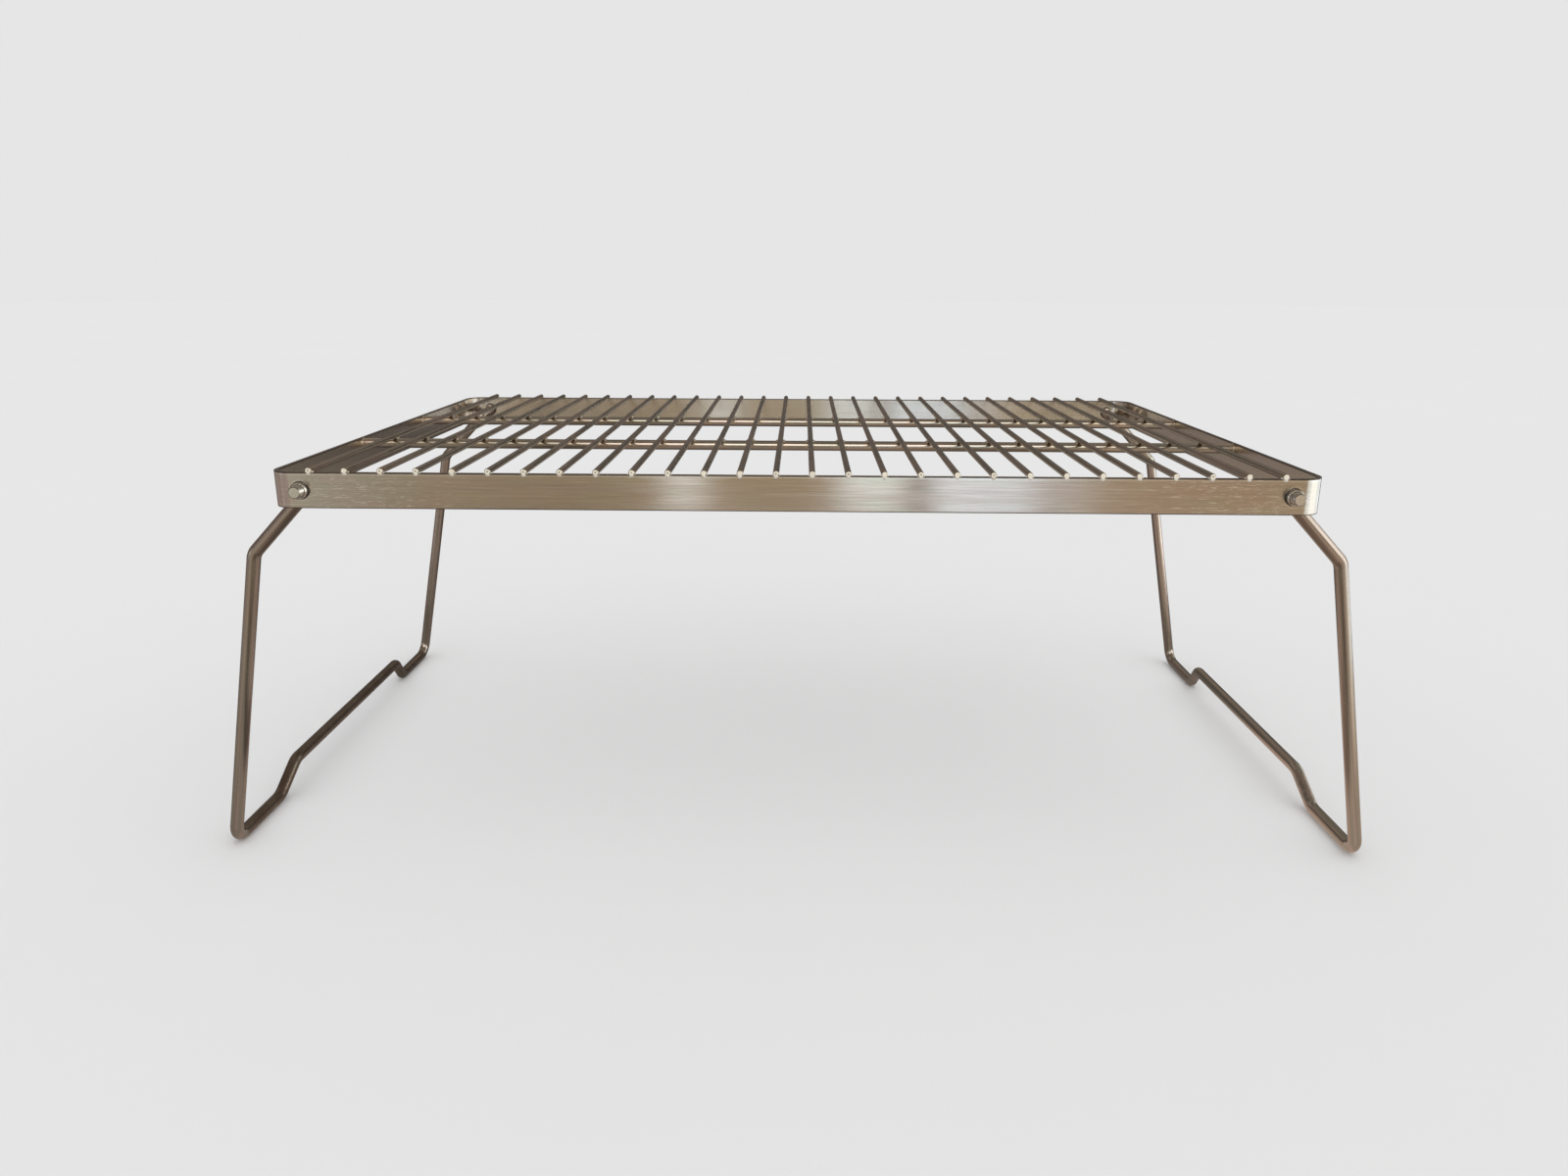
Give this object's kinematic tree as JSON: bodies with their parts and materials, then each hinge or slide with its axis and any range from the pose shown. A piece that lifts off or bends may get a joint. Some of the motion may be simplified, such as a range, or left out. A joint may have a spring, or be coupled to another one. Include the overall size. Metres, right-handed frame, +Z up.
{
  "type": "folding camp grill",
  "caption": "Folding camp grill: a grate of thin steel rods in a flat band frame with rounded corners, on hinged bent-wire legs that swing in flat under the grate.",
  "frame": {"origin": "on the ground under the middle of the open grill", "axes": "+X to the right along the grill's long side, +Y to the back, +Z up"},
  "size_m": [0.5424, 0.312, 0.1867],
  "materials": {
    "band_steel": "brushed lengthwise, warm stainless",
    "rod_steel": "drawn stainless rod, dull",
    "leg_steel": "drawn stainless wire, satin",
    "collar_steel": "turned stainless, bright"
  },
  "bodies": {
    "grate": {"frame_band": "band_steel", "cross_rod_front": "rod_steel", "cross_rod_back": "rod_steel", "grate_rod_01": "rod_steel", "grate_rod_02": "rod_steel", "grate_rod_03": "rod_steel", "grate_rod_04": "rod_steel", "grate_rod_05": "rod_steel", "grate_rod_06": "rod_steel", "grate_rod_07": "rod_steel", "grate_rod_08": "rod_steel", "grate_rod_09": "rod_steel", "grate_rod_10": "rod_steel", "grate_rod_11": "rod_steel", "grate_rod_12": "rod_steel", "grate_rod_13": "rod_steel", "grate_rod_14": "rod_steel", "grate_rod_15": "rod_steel", "grate_rod_16": "rod_steel", "grate_rod_17": "rod_steel", "grate_rod_18": "rod_steel", "grate_rod_19": "rod_steel", "grate_rod_20": "rod_steel", "grate_rod_21": "rod_steel", "grate_rod_22": "rod_steel", "grate_rod_23": "rod_steel", "grate_rod_24": "rod_steel", "grate_rod_25": "rod_steel", "grate_rod_26": "rod_steel", "grate_rod_27": "rod_steel", "grate_rod_28": "rod_steel"},
    "left_leg": {"leg_left": "leg_steel", "collar_front_left": "collar_steel", "collar_back_left": "collar_steel"},
    "right_leg": {"leg_right": "leg_steel", "collar_front_right": "collar_steel", "collar_back_right": "collar_steel"}
  },
  "joints": [
    {"name": "left_leg_fold", "type": "hinge", "parent": "grate", "child": "left_leg", "pos_m": [-0.211, 0, 0.17671], "axis": [0, -1, 0], "range_deg": [0, 108]},
    {"name": "right_leg_fold", "type": "hinge", "parent": "grate", "child": "right_leg", "pos_m": [0.211, 0, 0.17671], "axis": [0, 1, 0], "range_deg": [0, 108]}
  ]
}
